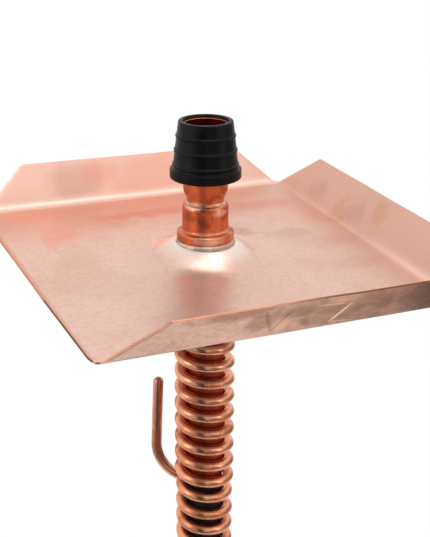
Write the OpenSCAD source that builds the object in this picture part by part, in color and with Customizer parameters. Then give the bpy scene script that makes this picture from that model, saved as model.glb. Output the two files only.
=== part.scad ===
// Copper hookah stem with a square ash tray, a rod-wound handle and a tongs hook.
// Millimetres. +Z is up the stem, the origin is at the mouth of the vessel that the stem stands in.
// +X and +Y run along the sides of the ash tray, and the tongs hook stands behind the stem, at +Y.

/* [Stem tubes] */
// Height of the tray seat, where the press coupling meets the tray, above the vessel's mouth
tray_seat_h = 215; // [212:1:250]
// Outside diameter of the copper stem tube
tube_d = 22; // [21:0.5:24]
// Wall of the copper tubes
tube_wall = 1; // [0.8:0.1:1.4]
// Radial clearance wherever one tube fits in or over another piece
fit_gap = 0.05; // [0.03:0.01:0.1]
// Length of the copper stem tube below the tray seat
stem_tube_drop = 144; // [130:1:146]
// Outside diameter of the black lower tube
lower_tube_d = 21; // [20.6:0.1:22]
// Bore of the black lower tube, which takes the dip tube
lower_tube_bore = 14.3; // [13.5:0.1:14.5]
// Length of the lower tube's spigot inside the copper stem tube
spigot_len = 15; // [8:1:25]
// How far the lower tube stands out below the stopper
lower_tube_stand = 4; // [2:1:10]
// Outside diameter of the dip tube
dip_d = 15; // [14.8:0.1:16]
// Wall of the dip tube
dip_wall = 1; // [0.7:0.1:1.5]
// Length of the dip tube that sits in the lower tube
dip_insert = 20; // [10:1:30]
// Free length of the dip tube below the lower tube
dip_len = 76; // [40:1:160]

/* [Bowl end] */
// Height of the bowl adapter's rim above the tray seat
bowl_rim_h = 65; // [60:0.1:72]
// How far the rubber grommet stands above the adapter's rim
grommet_proud = 1.5; // [0:0.1:2.5]
// Height of the rubber grommet
grommet_h = 31.1; // [28:0.1:34]
// Outside diameter of the grommet at its top
grommet_top_d = 29.3; // [28.5:0.1:31]
// Outside diameter of the grommet's cone just above its foot flange
grommet_base_d = 35.2; // [33:0.1:37]
// Outside diameter of the grommet's foot flange
grommet_flange_d = 38.4; // [37.4:0.2:42]
// Height of the grommet's foot flange
grommet_flange_h = 5.3; // [4:0.1:6]
// Number of ribs round the grommet
rib_count = 3; // [1:1:4]
// Distance from one rib to the next
rib_pitch = 7.8; // [6:0.1:8]
// Height of the lowest rib above the grommet's flange
rib_stand = 2.3; // [1:0.1:4]
// Radius of the rounded ribs
rib_r = 1.2; // [0.8:0.1:1.6]
// How far a rib stands out of the cone
rib_proud = 0.55; // [0.3:0.05:0.8]

/* [Fittings] */
// Outside diameter of the bowl adapter's long upper socket
adapter_d = 24; // [23:0.1:25]
// Wall of the bowl adapter
adapter_wall = 1.1; // [0.9:0.05:1.5]
// Wall of the press coupling's socket
coupling_wall = 1.45; // [1:0.05:1.8]
// Outside diameter of the bowl adapter's spigot
neck_spigot_d = 18; // [17:0.5:19]
// Outside diameter of the neck between the two fittings
neck_d = 20.2; // [19.6:0.1:21]
// Height of the press coupling, from the tray seat to the neck
coupling_h = 21.5; // [19:0.1:25]
// Outside diameter of the coupling's mouth round the neck
coupling_mouth_d = 22; // [21.4:0.1:23]
// Outside diameter of the O-ring bead
bead_d = 31; // [30:0.1:34]
// Height of the O-ring bead
bead_h = 6.3; // [5.8:0.1:7]
// Section diameter of the O-ring
o_ring_section = 2.8; // [2:0.1:3]
// Height of the cone above the neck, where the adapter widens into its socket
flare_h = 6.8; // [5:0.1:8]
// Straight length of the neck above the coupling
neck_len = 1.4; // [1:0.1:3]
// Height of the solder fillet at the neck
neck_solder_h = 1.3; // [0.8:0.1:1.4]

/* [Ash tray] */
// Side of the tray's floor, from fold to fold
tray_side = 197; // [180:1:220]
// Thickness of the copper sheet
sheet_t = 1; // [0.8:0.1:1.5]
// Width of the four flanges
flange_w = 27; // [20:0.5:32]
// Run of the folds along the floor, which sets how round they are
fold_run = 2.7; // [2:0.1:4]
// How much the left and right flanges narrow at each end, from the floor to the tip
tip_cut_sides = 23.4; // [15:0.2:27]
// How much the back flange narrows at each end
tip_cut_back = 24.6; // [15:0.2:27]
// How much the front flange narrows at each end
tip_cut_front = 26.8; // [15:0.2:27]
// Distance past the floor's edge at which the corner cuts start
cut_start = 0.6; // [0:0.1:2]
// Rounding of the flanges' corners
tip_round = 3; // [1:0.5:8]
// Angle of the front flange above the floor
flange_front = 58; // [45:1:70]
// Angle of the right flange above the floor
flange_right = 55; // [45:1:70]
// Angle of the back flange above the floor
flange_back = 54; // [45:1:70]
// Angle of the left flange above the floor
flange_left = 57; // [45:1:70]
// Height of the raised boss round the stem
boss_h = 7.7; // [5:0.1:9]
// Outer radius of the raised boss, where it runs into the floor
boss_foot_r = 46; // [40:1:52]
// Radius of the boss's flat top
boss_top_r = 17.5; // [17.2:0.1:21]
// Clearance of the stem's hole in the tray
tray_hole_gap = 0.3; // [0.2:0.05:0.6]
// Lean of the hand-fitted tray about X, which lifts its back edge
tray_lean_back = 3; // [0:0.1:3.5]
// Lean of the hand-fitted tray about Y, which drops its right edge
tray_lean_side = 1.4; // [0:0.1:2]
// Height of the solder ring above the tray seat
tray_solder_h = 1.2; // [0.8:0.1:1.6]

/* [Rod winding] */
// Diameter of the copper rod
rod_d = 6.1; // [4.5:0.1:6.2]
// Gap between the rod's turns and the tube inside them
wind_gap = 0.1; // [0.1:0.05:0.3]
// Rise of the upper winding in each turn
upper_pitch = 10.55; // [8.5:0.05:10.8]
// Number of turns in the upper winding
upper_turns = 14.5; // [8:0.5:14.5]
// Turns above its leaving point where the upper winding starts to close in on the lower tube
closing_turns = 1.24; // [1:0.02:1.3]
// Rise of the lower winding in each turn
lower_pitch = 10.55; // [8.5:0.05:11]
// Gap between the lower winding's end and the rim of the stopper
winding_end_gap = 3.5; // [2:0.5:20]
// Direction of the point where the upper winding's rod leaves the stem
leave_angle = 60; // [45:1:75]
// Depth below the tray seat at which the rod leaves the stem
leave_drop = 159.8; // [156:0.1:161]
// Turn between the upper rod's leaving point and the lower winding's first point
lower_lag = 85; // [80:1:100]
// Depth of the lower winding's first point below the upper rod's leaving point
lower_start = 3.4; // [3:0.1:8]

/* [Tongs hook] */
// Radius of the hook's bend
hook_bend_r = 23.9; // [20:0.1:30]
// Length of the hook's straight part
hook_straight = 40.2; // [25:0.1:50]
// Lean of the hook's straight part towards the stem
hook_lean = 2.1; // [0:0.1:4]

/* [Vessel stopper] */
// Outside diameter of the stopper's rim
stopper_rim_d = 50; // [46:1:60]
// Height of the stopper's rim above the vessel's mouth
stopper_rim_h = 8; // [6:0.5:9]
// Diameter of the stopper's cone at the vessel's mouth
stopper_top_d = 42; // [38:1:45]
// Diameter of the stopper's cone at its foot
stopper_foot_d = 34; // [30:1:37]
// Depth of the stopper in the vessel's neck
stopper_depth = 30; // [20:1:40]
// Rounding of the stopper's rim
stopper_round = 2; // [0.5:0.5:3]

/* [Hidden] */
$fn = 96;
wind_rings = 24; // rings of the swept rod in each turn
wind_sides = 6; // sides of the swept rod
bend_rings = 20; // rings of the hook's bend
dome_rings = 5; // rings of the hook's domed tip
hook_sides = 20; // sides of the hook's rod
small_round = 0.6; // rounding of small edges
closing_length = 0.5; // part of a turn over which the upper winding closes in
fold_steps = 8; // flats round a fold
ring_play = 0.1; // play of the O-ring in its groove
end_play = 0.2; // play at the foot of each socket

tube_r = tube_d / 2;
tube_bore_r = tube_r - tube_wall;
socket_bore_r = tube_r + fit_gap;
socket_r = socket_bore_r + coupling_wall;
adapter_r = adapter_d / 2;
adapter_bore_r = adapter_r - adapter_wall;
neck_r = neck_d / 2;
neck_spigot_r = neck_spigot_d / 2;
neck_bore_r = neck_spigot_r - adapter_wall;
mouth_r = coupling_mouth_d / 2;
bead_r = bead_d / 2;

// Heights above the tray seat
bead_foot = 0.2;
bead_top = bead_foot + bead_h;
bead_round = 1.2; // rounding of the bead's edges
bead_foot_r = bead_r - 1.5; // radius of the bead's flat foot
bead_turn = 70; // degrees that the bead's edges turn through
bead_side_h = bead_foot + 1.4; // foot of the bead's straight side
bead_side_top = bead_top - 1.9; // top of the bead's straight side
shoulder_h = 3;
fillet_r = 1.3; // hollow between the bead and the socket
fillet_drop = 0.9; // height of the hollow's centre above the bead
coupling_stop = coupling_h - 4.4; // foot of the coupling's narrow throat
flare_foot = coupling_h + neck_len;
grommet_foot = bowl_rim_h + grommet_proud - grommet_h;
grommet_bore_r = adapter_r + fit_gap;

o_ring_r = o_ring_section / 2;
o_ring_centre_r = tube_r + o_ring_r + ring_play;
o_ring_h = bead_foot + bead_h / 2;
groove_side = o_ring_r + ring_play;

tray_half = tray_side / 2;
tray_drop = 0.9; // fall of the boss's top below the tray seat, so that the leaning sheet clears the bead
solder_r = bead_r + 0.9;
tray_hole_r = tube_r + tray_hole_gap;

rod_r = rod_d / 2;
upper_wind_r = tube_r + wind_gap + rod_r;
lower_tube_r = lower_tube_d / 2;
lower_wind_r = lower_tube_r + wind_gap + rod_r;
lower_start_drop = leave_drop + lower_start;
lower_start_h = tray_seat_h - lower_start_drop;
lower_turns = floor(wind_rings * (lower_start_h - rod_r - winding_end_gap - stopper_rim_h) / lower_pitch) / wind_rings;
lower_tube_top = tray_seat_h - stem_tube_drop;
spigot_r = tube_bore_r - fit_gap;
lower_bore_r = lower_tube_bore / 2;
lower_tube_foot = -stopper_depth - lower_tube_stand;
dip_r = dip_d / 2;
dip_insert_r = lower_bore_r - fit_gap;
dip_step = 1; // depth below the lower tube at which the dip tube narrows to its insert
dip_foot = lower_tube_foot - dip_len;

copper = [0.80, 0.47, 0.34];
copper_pale = [0.88, 0.66, 0.56];
copper_deep = [0.72, 0.36, 0.22];
tin = [0.80, 0.78, 0.75];
rubber_black = [0.08, 0.08, 0.08];

// ---- Helpers ----

// A point at radius r and angle a, moved by the centre c
function polar(c, r, a) = [c[0] + r * cos(a), c[1] + r * sin(a)];
// An arc of points from angle a0 to a1 in the given number of steps
function arc(c, r, a0, a1, steps) = [for (i = [0:steps]) polar(c, r, a0 + (a1 - a0) * i / steps)];
// A smooth step from 0 to 1 and its value between two radii
function ease(t) = (1 - cos(180 * t)) / 2;

module on_seat() translate([0, 0, tray_seat_h]) children();

module pipe(r_out, r_in, z0, z1) {
    translate([0, 0, z0])
        difference() {
            cylinder(r = r_out, h = z1 - z0);
            translate([0, 0, -1]) cylinder(r = r_in, h = z1 - z0 + 2);
        }
}

// Radius of a winding at a number of turns above its last point. It is r at the top and r_end at the end.
function winding_r(r, r_end, closing, turns_up) =
    r_end + (r - r_end) * ease(min(max((turns_up - closing + closing_length) / closing_length, 0), 1));

// A left-hand winding of the given number of turns, from its top down to its last point, which lies at
// angle 0, height 0. Each end then runs straight on for one rod diameter.
function winding_path(r, r_end, closing, pitch, turns) =
    let (steps = round(turns * wind_rings), a0 = -360 * turns)
    let (helix = [
        for (i = [0:steps])
        let (up = turns * (1 - i / steps), w = winding_r(r, r_end, closing, up))
        [w * cos(-360 * up), w * sin(-360 * up), up * pitch]
    ])
    concat(
        [[r * cos(a0) + rod_d * sin(a0), r * sin(a0) - rod_d * cos(a0), turns * pitch]],
        helix,
        [[r_end, rod_d, 0]]
    );

// Direction of the path at point i, taken from its neighbours
function heading(p, i) =
    let (d = p[min(i + 1, len(p) - 1)] - p[max(i - 1, 0)]) d / norm(d);

// Direction at point i of a winding, whose ends are cut square and so run level
function winding_heading(p, i) =
    let (h = heading(p, i))
    let (flat = [h[0], h[1], 0])
    (i == 0 || i == len(p) - 1) ? flat / norm(flat) : h;

// A ring of points of radius r round c, square to h, counted from the direction side
function ring(c, r, h, side, sides) =
    let (lift = cross(side, h))
    [for (k = [0:sides - 1]) let (a = 360 * k / sides) c + r * (cos(a) * side + sin(a) * lift)];

// The closed skin over a list of rings, each with the same number of points
module skin(rings) {
    sides = len(rings[0]);
    walls = [
        for (i = [0:len(rings) - 2]) for (k = [0:sides - 1])
        let (a = i * sides + k, b = i * sides + (k + 1) % sides)
        each [[a, a + sides, b + sides], [a, b + sides, b]]
    ];
    start_cap = [for (k = [1:sides - 2]) [0, k, k + 1]];
    last = (len(rings) - 1) * sides;
    end_cap = [for (k = [1:sides - 2]) [last, last + k + 1, last + k]];
    polyhedron(points = [for (r = rings) each r], faces = concat(start_cap, walls, end_cap));
}

module wound_rod(p) {
    skin([
        for (i = [0:len(p) - 1])
        let (h = winding_heading(p, i), side = cross(h, [0, 0, 1]))
        ring(p[i], rod_r, h, side / norm(side), wind_sides)
    ]);
}

// Least distance between a rod's own turns, measured on its points from half a turn on
function least_gap(p) =
    min([
        for (i = [0:len(p) - 1])
        for (j = [i + wind_rings / 2:1:min(i + 2 * wind_rings, len(p) - 1)])
        norm(p[j] - p[i])
    ]) - rod_d;

// ---- Bowl end ----

// Radius of the grommet's cone at a height above its foot
function cone_r(h) =
    let (t = (h - grommet_flange_h) / (grommet_h - grommet_flange_h))
    (grommet_base_d + (grommet_top_d - grommet_base_d) * t) / 2;

module bowl_grommet() {
    flange_r = grommet_flange_d / 2;
    top_r = grommet_top_d / 2;
    rib_foot = grommet_flange_h + rib_stand;
    color(rubber_black)
        on_seat() translate([0, 0, grommet_foot])
            difference() {
                union() {
                    rotate_extrude()
                        polygon(concat(
                            [[0, 0], [flange_r - 0.8, 0]],
                            arc([flange_r - small_round, 1.3], small_round, -45, 0, 4),
                            arc([flange_r - small_round, grommet_flange_h - small_round], small_round, 0, 90, 4),
                            [[cone_r(grommet_flange_h), grommet_flange_h]],
                            arc([top_r - small_round, grommet_h - small_round], small_round, 10, 90, 4),
                            [[0, grommet_h]]
                        ));
                    for (i = [0:rib_count - 1]) {
                        rib_h = rib_foot + i * rib_pitch;
                        translate([0, 0, rib_h])
                            rotate_extrude()
                                translate([cone_r(rib_h) + rib_proud - rib_r, 0]) circle(r = rib_r);
                    }
                }
                translate([0, 0, -1]) cylinder(r = grommet_bore_r, h = grommet_h + 2);
            }
}

// ---- Fittings ----

module bowl_adapter() {
    spigot_foot = coupling_stop + end_play;
    steps = 8;
    flare = [
        for (i = [0:steps])
        [neck_r + (adapter_r - neck_r) * ease(i / steps), flare_foot + flare_h * i / steps]
    ];
    inner_flare = [
        for (i = [steps:-1:0])
        [neck_bore_r + (adapter_bore_r - neck_bore_r) * ease(i / steps), flare_foot + flare_h * i / steps]
    ];
    color(copper_deep) on_seat()
        rotate_extrude()
            polygon(concat(
                [[neck_bore_r, spigot_foot], [neck_spigot_r, spigot_foot]],
                [[neck_spigot_r, coupling_h], [neck_r, coupling_h]],
                flare,
                [[adapter_r, bowl_rim_h], [adapter_bore_r, bowl_rim_h]],
                inner_flare
            ));
}

module neck_solder() {
    color(tin) on_seat()
        rotate_extrude()
            polygon([
                [neck_r, coupling_h], [mouth_r - 0.1, coupling_h],
                [neck_r + 0.35, coupling_h + 0.4 * neck_solder_h], [neck_r, coupling_h + neck_solder_h]
            ]);
}

// Underside of the O-ring bead, which the solder ring runs into
bead_under = concat(
    [[bead_foot_r, bead_foot]],
    arc([bead_r - bead_round, bead_side_h], bead_round, -bead_turn, 0, 4)
);

module press_coupling() {
    shoulder_foot = coupling_h - shoulder_h;
    shoulder = [
        for (i = [0:6])
        [mouth_r + (socket_r - mouth_r) * cos(90 * i / 6), shoulder_foot + shoulder_h * sin(90 * i / 6)]
    ];
    color(copper_deep) on_seat()
        difference() {
            rotate_extrude()
                polygon(concat(
                    [[0, bead_foot]],
                    bead_under,
                    arc([bead_r - bead_round, bead_side_top], bead_round, 0, bead_turn, 4),
                    arc([socket_r + fillet_r, bead_top + fillet_drop], fillet_r, -90, -180, 4),
                    shoulder,
                    [[0, coupling_h]]
                ));
            translate([0, 0, bead_foot - 1]) cylinder(r = socket_bore_r, h = coupling_stop - bead_foot + 1);
            translate([0, 0, bead_foot]) cylinder(r = neck_spigot_r + fit_gap, h = coupling_h);
            translate([0, 0, o_ring_h - groove_side])
                cylinder(r = o_ring_centre_r + groove_side, h = 2 * groove_side);
        }
}

module coupling_o_ring() {
    color(rubber_black) on_seat()
        translate([0, 0, o_ring_h])
            rotate_extrude() translate([o_ring_centre_r, 0]) circle(r = o_ring_r);
}

// ---- Ash tray ----

// Places a shape on the leaning tray, whose frame lies in the top face of the boss
module on_tray() {
    translate([0, 0, tray_seat_h - tray_drop])
        rotate([tray_lean_back, tray_lean_side, 0]) children();
}

module tray_solder() {
    color(tin)
        difference() {
            on_seat()
                rotate_extrude()
                    polygon([
                        [tray_hole_r, -3], [solder_r, -3], [solder_r, -0.3],
                        [solder_r - 0.3, 0.3], [bead_r - 0.5, tray_solder_h], [bead_foot_r, bead_foot],
                        [tray_hole_r, bead_foot]
                    ]);
            on_tray() translate([0, 0, -10]) cube([4 * bead_r, 4 * bead_r, 20], center = true);
            on_seat()
                rotate_extrude()
                    polygon(concat([[0, bead_foot]], bead_under, [[0, bead_side_top]]));
        }
}

// One flange with its fold, on the +X side of the tray, with the floor's top at height 0. The blank's
// corners are cut off, so each flange narrows from the corner of the floor to its tip.
module flange(angle, tip_cut) {
    half = tray_half - fold_run;
    inner_r = fold_run / tan(angle / 2);
    centre = [half, inner_r];
    reach = flange_w - fold_run + 2; // past the tip, where the blank's outline cuts it off
    inner = arc(centre, inner_r, -90, angle - 90, fold_steps);
    outer = arc(centre, inner_r + sheet_t, angle - 90, -90, fold_steps);
    along = [cos(angle), sin(angle)];
    slope = tip_cut / (flange_w - cut_start);
    lean = atan(slope);
    round_x = flange_w - tip_round;
    round_y = half - tip_cut - tip_round * tan(45 - lean / 2);
    far = 30; // reaches past the fold, into the floor
    intersection() {
        rotate([90, 0, 0])
            linear_extrude(height = 2 * half, center = true)
                polygon(concat(
                    [[half - 1, -sheet_t], [half - 1, 0]],
                    inner,
                    [inner[fold_steps] + reach * along, outer[0] + reach * along],
                    outer
                ));
        translate([tray_half, 0, 0])
            rotate([0, -angle, 0])
                linear_extrude(height = 2 * far, center = true)
                    polygon(concat(
                        [[-far, -half - 1], [cut_start - 1 / slope, -half - 1]],
                        arc([round_x, -round_y], tip_round, lean - 90, 0, 4),
                        arc([round_x, round_y], tip_round, 0, 90 - lean, 4),
                        [[cut_start - 1 / slope, half + 1], [-far, half + 1]]
                    ));
    }
}

module ash_tray() {
    angles = [flange_right, flange_back, flange_left, flange_front];
    tip_cuts = [tip_cut_sides, tip_cut_back, tip_cut_sides, tip_cut_front];
    floor_side = tray_side - 2 * fold_run;
    steps = 12;
    curve = [
        for (i = [0:steps])
        [boss_top_r + (boss_foot_r - boss_top_r) * i / steps, -boss_h * ease(i / steps)]
    ];
    rim = boss_foot_r + 3;
    color(copper_pale) on_tray() {
        difference() {
            translate([-floor_side / 2, -floor_side / 2, -boss_h - sheet_t])
                cube([floor_side, floor_side, sheet_t]);
            translate([0, 0, -boss_h - 2 * sheet_t]) cylinder(r = boss_foot_r + 1, h = 3 * sheet_t);
        }
        rotate_extrude()
            polygon(concat(
                [[tray_hole_r, 0]],
                curve,
                [[rim, -boss_h], [rim, -boss_h - sheet_t]],
                [for (i = [steps:-1:0]) curve[i] - [0, sheet_t]],
                [[tray_hole_r, -sheet_t]]
            ));
        for (i = [0:3])
            rotate([0, 0, 90 * i]) translate([0, 0, -boss_h]) flange(angles[i], tip_cuts[i]);
    }
}

// ---- Stem, windings and hook ----

module stem_tube() {
    color(copper) on_seat() pipe(tube_r, tube_bore_r, -stem_tube_drop, coupling_stop - end_play);
}

upper_path = winding_path(upper_wind_r, lower_wind_r, closing_turns, upper_pitch, upper_turns);
lower_path = winding_path(lower_wind_r, lower_wind_r, closing_length, lower_pitch, lower_turns);

// Moves a shape to the point where the upper rod leaves the stem, with +Y along the rod
module at_leaving_point() {
    on_seat() translate([0, 0, -leave_drop]) rotate([0, 0, leave_angle]) children();
}

module upper_winding() {
    color(copper) at_leaving_point() wound_rod(upper_path);
}

module lower_winding() {
    end_drop = lower_start_drop + lower_turns * lower_pitch;
    end_angle = leave_angle + lower_lag + 360 * lower_turns;
    color(copper) on_seat() translate([0, 0, -end_drop]) rotate([0, 0, end_angle]) wound_rod(lower_path);
}

// The hook's rod lies in one upright plane. It bends up from level, runs straight and ends in a dome.
module tongs_hook() {
    centre = [lower_wind_r, rod_d, hook_bend_r];
    bend = [
        for (i = [0:bend_rings])
        let (a = -90 + (90 + hook_lean) * i / bend_rings)
        centre + hook_bend_r * [0, cos(a), sin(a)]
    ];
    up = [0, -sin(hook_lean), cos(hook_lean)];
    top = bend[bend_rings] + hook_straight * up;
    bend_skin = [
        for (i = [0:bend_rings])
        let (a = (90 + hook_lean) * i / bend_rings)
        ring(bend[i], rod_r, [0, cos(a), sin(a)], [1, 0, 0], hook_sides)
    ];
    dome_skin = [
        for (i = [0:dome_rings])
        let (a = 86 * i / dome_rings)
        ring(top + rod_r * sin(a) * up, rod_r * cos(a), up, [1, 0, 0], hook_sides)
    ];
    color(copper) at_leaving_point() skin(concat(bend_skin, dome_skin));
}

module lower_tube() {
    color(rubber_black)
        difference() {
            union() {
                translate([0, 0, lower_tube_foot]) cylinder(r = lower_tube_r, h = lower_tube_top - lower_tube_foot);
                translate([0, 0, lower_tube_top - 1]) cylinder(r = spigot_r, h = spigot_len + 1);
            }
            translate([0, 0, lower_tube_foot - 1])
                cylinder(r = lower_bore_r, h = lower_tube_top - lower_tube_foot + spigot_len + 2);
        }
}

// ---- Below the vessel's mouth ----

module base_stopper() {
    rim_r = stopper_rim_d / 2;
    color(rubber_black)
        rotate_extrude()
            polygon(concat(
                [[lower_tube_r + fit_gap, -stopper_depth], [stopper_foot_d / 2 - 1, -stopper_depth]],
                [[stopper_foot_d / 2, 1 - stopper_depth], [stopper_top_d / 2, 0]],
                arc([rim_r - small_round, small_round], small_round, -90, 0, 4),
                arc([rim_r - stopper_round, stopper_rim_h - stopper_round], stopper_round, 0, 90, 6),
                [[lower_tube_r + fit_gap, stopper_rim_h]]
            ));
}

module dip_tube() {
    step = lower_tube_foot - dip_step;
    top = lower_tube_foot + dip_insert;
    color(copper)
        rotate_extrude()
            polygon([
                [dip_r - dip_wall, dip_foot], [dip_r, dip_foot], [dip_r, step], [dip_insert_r, step],
                [dip_insert_r, top], [dip_insert_r - dip_wall, top], [dip_insert_r - dip_wall, step - dip_step],
                [dip_r - dip_wall, step - 2 * dip_step]
            ]);
}

echo(str("Least gap of the upper winding to itself, mm: ", least_gap(upper_path)));
echo(str("Least gap of the lower winding to itself, mm: ", least_gap(lower_path)));

bowl_grommet();
bowl_adapter();
neck_solder();
press_coupling();
coupling_o_ring();
tray_solder();
ash_tray();
stem_tube();
upper_winding();
tongs_hook();
lower_tube();
lower_winding();
base_stopper();
dip_tube();
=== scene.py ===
"""Looks of the copper hookah stem: the sheet tray, the fittings, the rubber, the wound rod and its hook."""

import math

import bmesh
import bpy
from mathutils import Matrix, Vector, noise


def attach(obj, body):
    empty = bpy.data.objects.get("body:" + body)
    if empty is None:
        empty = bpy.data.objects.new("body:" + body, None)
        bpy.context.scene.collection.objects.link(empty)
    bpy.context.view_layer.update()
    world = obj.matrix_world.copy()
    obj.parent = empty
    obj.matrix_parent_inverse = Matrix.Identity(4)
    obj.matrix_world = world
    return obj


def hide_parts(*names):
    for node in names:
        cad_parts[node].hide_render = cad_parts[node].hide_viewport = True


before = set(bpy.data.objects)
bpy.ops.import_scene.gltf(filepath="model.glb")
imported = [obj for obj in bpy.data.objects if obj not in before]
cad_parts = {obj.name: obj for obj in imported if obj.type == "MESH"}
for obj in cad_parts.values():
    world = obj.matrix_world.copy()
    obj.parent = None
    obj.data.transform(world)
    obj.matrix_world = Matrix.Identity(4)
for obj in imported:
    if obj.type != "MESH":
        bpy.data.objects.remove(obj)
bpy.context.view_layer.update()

MM = 0.001
NEARLY = 0.00001  # metres
STEM, GROMMET = "stem", "grommet"

# Sizes in millimetres and degrees, the same as the solids have
SEAT = 215.0  # height of the tray seat above the vessel's mouth
TUBE_R = 11.0
ADAPTER_R, ADAPTER_BORE_R, RIM_H = 12.0, 10.9, 65.0
SOCKET_R, NECK_R, NECK_BORE_R, MOUTH_R = 12.5, 10.1, 7.9, 11.0
SPIGOT_R = 9.0
COUPLING_H, COUPLING_STOP, COUPLING_ROUND, NECK_LEN, FLARE_H = 21.5, 17.1, 3.0, 1.4, 6.8
BEAD_R, BEAD_FOOT, BEAD_TOP = 15.5, 0.2, 6.5
FIT_GAP, END_PLAY = 0.05, 0.2
GROMMET_H, GROMMET_PROUD, GROMMET_BORE_R = 31.1, 1.5, 12.06
GROMMET_TOP_R, GROMMET_BASE_R, GROMMET_FLANGE_R, GROMMET_FLANGE_H = 14.65, 17.6, 19.2, 5.3
RIB_COUNT, RIB_PITCH, RIB_STAND, RIB_R, RIB_SUNK = 3, 7.8, 2.3, 1.2, 0.65
SHEET_T, TRAY_SIDE, TRAY_DROP, HOLE_R = 1.0, 197.0, 0.9, 11.3
FLANGE_W, FOLD_RUN, CUT_START, TIP_ROUND = 27.0, 2.7, 0.6, 3.0
TIP_CUTS = (23.4, 24.6, 23.4, 26.8)  # right, back, left, front
FLANGE_ANGLES = (55.0, 54.0, 57.0, 58.0)  # right, back, left, front
FLOOR_HALF = TRAY_SIDE / 2 - FOLD_RUN  # from the middle to where the folds begin
# The boss round the stem: its steep shoulder, and the radii of the mesh's rings
BOSS_H, BOSS_FOOT_R = 7.7, 46.0
SHOULDER_R, SHOULDER_END_R, SHOULDER_FOOT_R, SHOULDER_SLOPE = 16.6, 25.5, 34.15, 0.58
BOSS_RINGS = (SHOULDER_R, 17.2, 18, 19, 20.5, 22, 23.5, 24.6, SHOULDER_END_R,
              26.5, 27.6, 28.8, 30, 31.4, 32.8, 34.2, 38, 42, BOSS_FOOT_R)
TRAY_LEAN = (3.0, 1.4)  # about X, about Y
ROD_R, PITCH, WIND_STEPS = 3.05, 10.55, 48
WIND_R, WIND_END_R = 14.15, 13.65
# Where the upper winding closes in on the lower tube, and where the rod leaves the stem
UPPER_TURNS, CLOSING_TURNS, CLOSING_LENGTH, LOWER_TURNS = 14.5, 1.24, 0.5, 3.5
LEAVE_ANGLE, LEAVE_DROP, LOWER_LAG, LOWER_START = 60.0, 159.8, 85.0, 3.4
HOOK_BEND_R, HOOK_STRAIGHT, HOOK_LEAN = 23.9, 40.2, 2.1

# The studio's levels, in metres
FLOOR_Z, FLOOR_CARD_Z, CARD_FOOT_Z = -0.1125, -0.1115, -0.11

GROUPS = {}
MATERIALS = {}


# ---- Camera ----

def place_camera():
    """The viewpoint above the front left of the tray, looking down on it."""
    right = Vector((0.90655, -0.42207, 0.00460))
    back = right.cross(Vector((0.13842, 0.30758, 0.94140))).normalized()
    place = Vector((-234.70, -501.94, 413.51))
    data = bpy.data.cameras.new("camera")
    camera = bpy.data.objects.new("camera", data)
    bpy.context.scene.collection.objects.link(camera)
    turn = Matrix((right, back.cross(right), back)).transposed().to_4x4()
    camera.matrix_world = Matrix.Translation(place * MM) @ turn
    data.sensor_width = 36
    data.lens = 72.396
    data.shift_x, data.shift_y = 0.01819, -0.05436
    data.clip_start, data.clip_end = 0.01, 20
    bpy.context.scene.camera = camera


# ---- Modelling helpers ----

def deselect_all():
    """Back to object mode, with nothing selected."""
    if bpy.context.mode != "OBJECT":
        bpy.ops.object.mode_set(mode="OBJECT")
    bpy.ops.object.select_all(action="DESELECT")


def activate(obj):
    """Makes the object the active one, and the only one selected."""
    deselect_all()
    bpy.context.view_layer.objects.active = obj
    obj.select_set(True)


def edit(obj):
    activate(obj)
    bpy.ops.object.mode_set(mode="EDIT")


def named(name):
    """The primitive just added, under its own name."""
    obj = bpy.context.object
    obj.name = obj.data.name = name
    return obj


def choose(obj, keep, kind="VERT"):
    """Selects, in edit mode, the vertices, edges or faces that keep() picks."""
    bpy.ops.mesh.select_mode(type=kind)
    bpy.ops.mesh.select_all(action="DESELECT")
    mesh = bmesh.from_edit_mesh(obj.data)
    parts = {"VERT": mesh.verts, "EDGE": mesh.edges, "FACE": mesh.faces}[kind]
    for part in parts:
        if keep(part):
            part.select_set(True)
    mesh.select_flush_mode()
    bmesh.update_edit_mesh(obj.data)


def apply_all(obj):
    activate(obj)
    for modifier in list(obj.modifiers):
        bpy.ops.object.modifier_apply(modifier=modifier.name)


def settle(obj, matrix=None):
    """Puts the object's place into its mesh, so that the object sits at the origin."""
    activate(obj)
    if matrix is not None:
        obj.matrix_world = matrix @ obj.matrix_world
    bpy.ops.object.transform_apply(location=True, rotation=True, scale=True)


def outward(obj):
    """Joins doubled vertices and turns every face outward."""
    edit(obj)
    bpy.ops.mesh.select_all(action="SELECT")
    bpy.ops.mesh.remove_doubles(threshold=0.00001)
    bpy.ops.mesh.normals_make_consistent(inside=False)
    bpy.ops.object.mode_set(mode="OBJECT")


def smooth(obj, angle=40):
    """Shades smooth, apart from edges sharper than the angle."""
    activate(obj)
    bpy.ops.object.shade_smooth_by_angle(angle=math.radians(angle))


def sculpt(obj, move):
    """Moves each vertex by what move() gives for its place, in millimetres."""
    for vertex in obj.data.vertices:
        vertex.co += Vector(move(vertex.co / MM)) * MM
    obj.data.update()


def bevel(obj, width, segments, angle):
    """Rounds the edges that are sharper than the angle, once the modifiers are applied."""
    modifier = obj.modifiers.new("edges", "BEVEL")
    modifier.width = width * MM
    modifier.segments = segments
    modifier.limit_method = "ANGLE"
    modifier.angle_limit = math.radians(angle)


def arc(cx, cy, r, start, end, steps):
    """Points along an arc from one angle in degrees to another."""
    angles = [math.radians(start + (end - start) * i / steps) for i in range(steps + 1)]
    return [(cx + r * math.cos(a), cy + r * math.sin(a)) for a in angles]


def ease(t):
    """A soft step from 0 to 1."""
    return (1 - math.cos(math.pi * min(max(t, 0), 1))) / 2


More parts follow.
